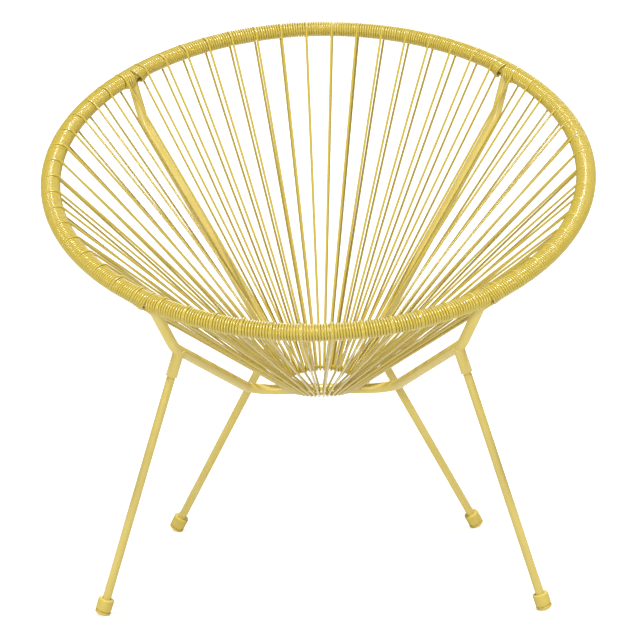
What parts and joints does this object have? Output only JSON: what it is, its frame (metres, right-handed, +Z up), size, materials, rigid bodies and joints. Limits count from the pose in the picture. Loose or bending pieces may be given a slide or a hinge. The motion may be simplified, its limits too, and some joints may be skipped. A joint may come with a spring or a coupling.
{
  "type": "acapulco chair",
  "caption": "Low round lounge chair: a tilted steel hoop wound with plastic cord, straight cords drawn down to a hub ring, and splayed screw-in legs.",
  "frame": {"origin": "on the floor, under the middle of the bounding box, which is under the middle of the hoop", "axes": "+X to the right as seen from the front, the front of the chair towards -Y, +Z up"},
  "size_m": [0.7396, 0.6676, 0.7204],
  "materials": {
    "painted_steel": "golden yellow powder coat, satin gloss",
    "vinyl_cord": "golden yellow extruded vinyl cord, satin gloss",
    "foot_plastic": "golden yellow moulded foot cap, fine matt",
    "plated_steel": "zinc plated turned steel"
  },
  "bodies": {
    "root": {"rim_hoop": "painted_steel", "hub_ring": "painted_steel", "front_frame_tube": "painted_steel", "back_frame_tube": "painted_steel", "ring_post_left": "painted_steel", "ring_post_right": "painted_steel", "seat_cord_front_1": "vinyl_cord", "seat_cord_front_2": "vinyl_cord", "seat_cord_front_3": "vinyl_cord", "seat_cord_right_1": "vinyl_cord", "seat_cord_right_2": "vinyl_cord", "seat_cord_right_3": "vinyl_cord", "seat_cord_back_1": "vinyl_cord", "seat_cord_back_2": "vinyl_cord", "seat_cord_back_3": "vinyl_cord", "seat_cord_left_1": "vinyl_cord", "seat_cord_left_2": "vinyl_cord", "seat_cord_left_3": "vinyl_cord", "leg_socket_front_left": "painted_steel", "leg_socket_front_right": "painted_steel", "leg_socket_back_left": "painted_steel", "leg_socket_back_right": "painted_steel", "leg_insert_front_left": "plated_steel", "leg_insert_front_right": "plated_steel", "leg_insert_back_left": "plated_steel", "leg_insert_back_right": "plated_steel", "leg_front_left": "painted_steel", "leg_front_right": "painted_steel", "leg_back_left": "painted_steel", "leg_back_right": "painted_steel", "foot_cap_front_left": "foot_plastic", "foot_cap_front_right": "foot_plastic", "foot_cap_back_left": "foot_plastic", "foot_cap_back_right": "foot_plastic"}
  },
  "joints": []
}
